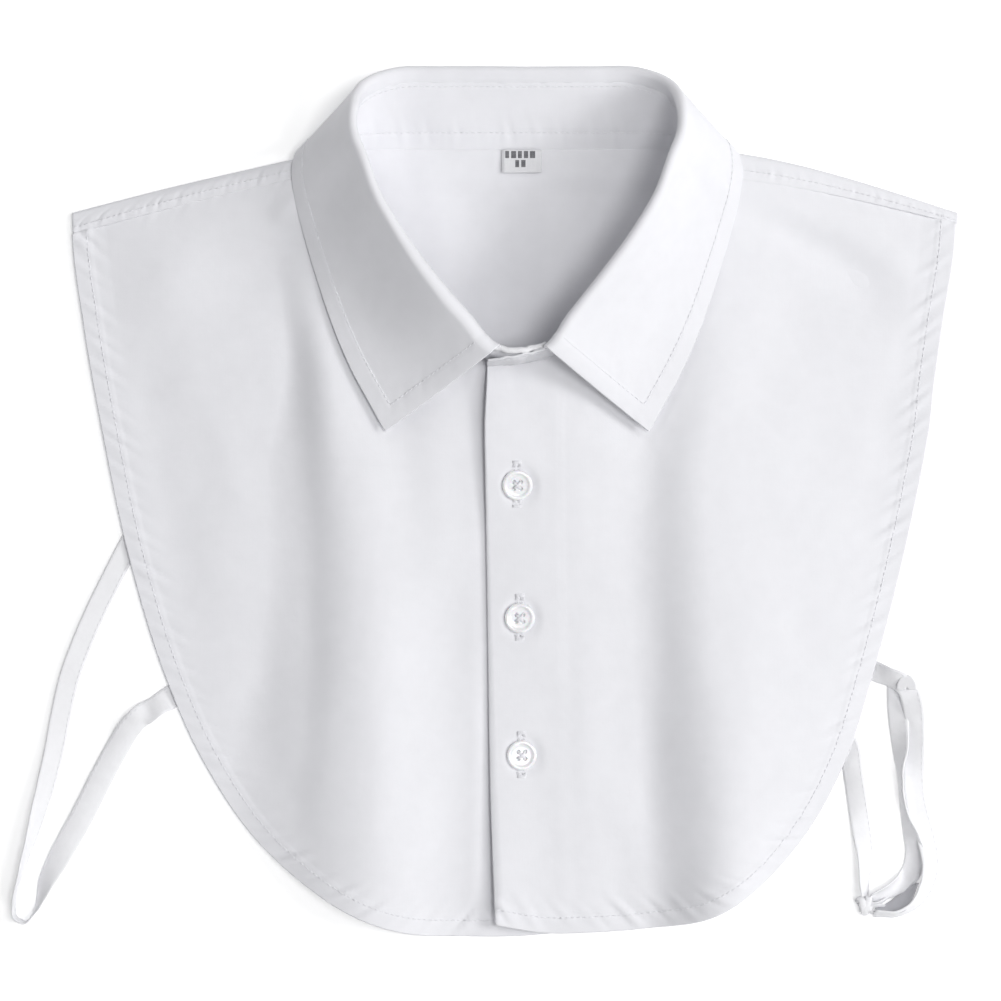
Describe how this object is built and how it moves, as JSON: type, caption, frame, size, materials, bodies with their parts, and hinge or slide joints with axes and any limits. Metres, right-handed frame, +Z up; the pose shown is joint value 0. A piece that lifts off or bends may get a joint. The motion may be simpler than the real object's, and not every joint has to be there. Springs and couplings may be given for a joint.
{
  "type": "detachable shirt collar",
  "caption": "White buttoned shirt collar with bib fronts, bib back and narrow side tapes, worn under a jumper in place of a shirt, lying flat and fastened.",
  "frame": {"origin": "on the surface the collar lies on, under the back panel, at the middle of the bib's width and length", "axes": "+X to the viewer's right across the fronts, +Y from the hem to the neck, +Z up from the surface, out of the fronts"},
  "size_m": [0.3956, 0.3652, 0.0484],
  "materials": {
    "white_cotton": "plain woven white cotton, pressed, slightly puckered along its seams",
    "white_tape": "folded and edge-stitched white cotton tape",
    "button_resin": "white four-hole shirt button, smooth and slightly pearly",
    "label_tape": "small woven tab, white with plain dark bars"
  },
  "bodies": {
    "root": {"back_panel": "white_cotton", "front_under": "white_cotton", "front_over": "white_cotton", "collar_stand": "white_cotton", "collar_leaf": "white_cotton", "button_1": "button_resin", "button_2": "button_resin", "button_3": "button_resin", "size_label": "label_tape", "tape_left": "white_tape", "tape_right_front": "white_tape", "tape_right_inner": "white_tape", "tape_right_back": "white_tape", "tape_knot": "white_tape"}
  },
  "joints": []
}
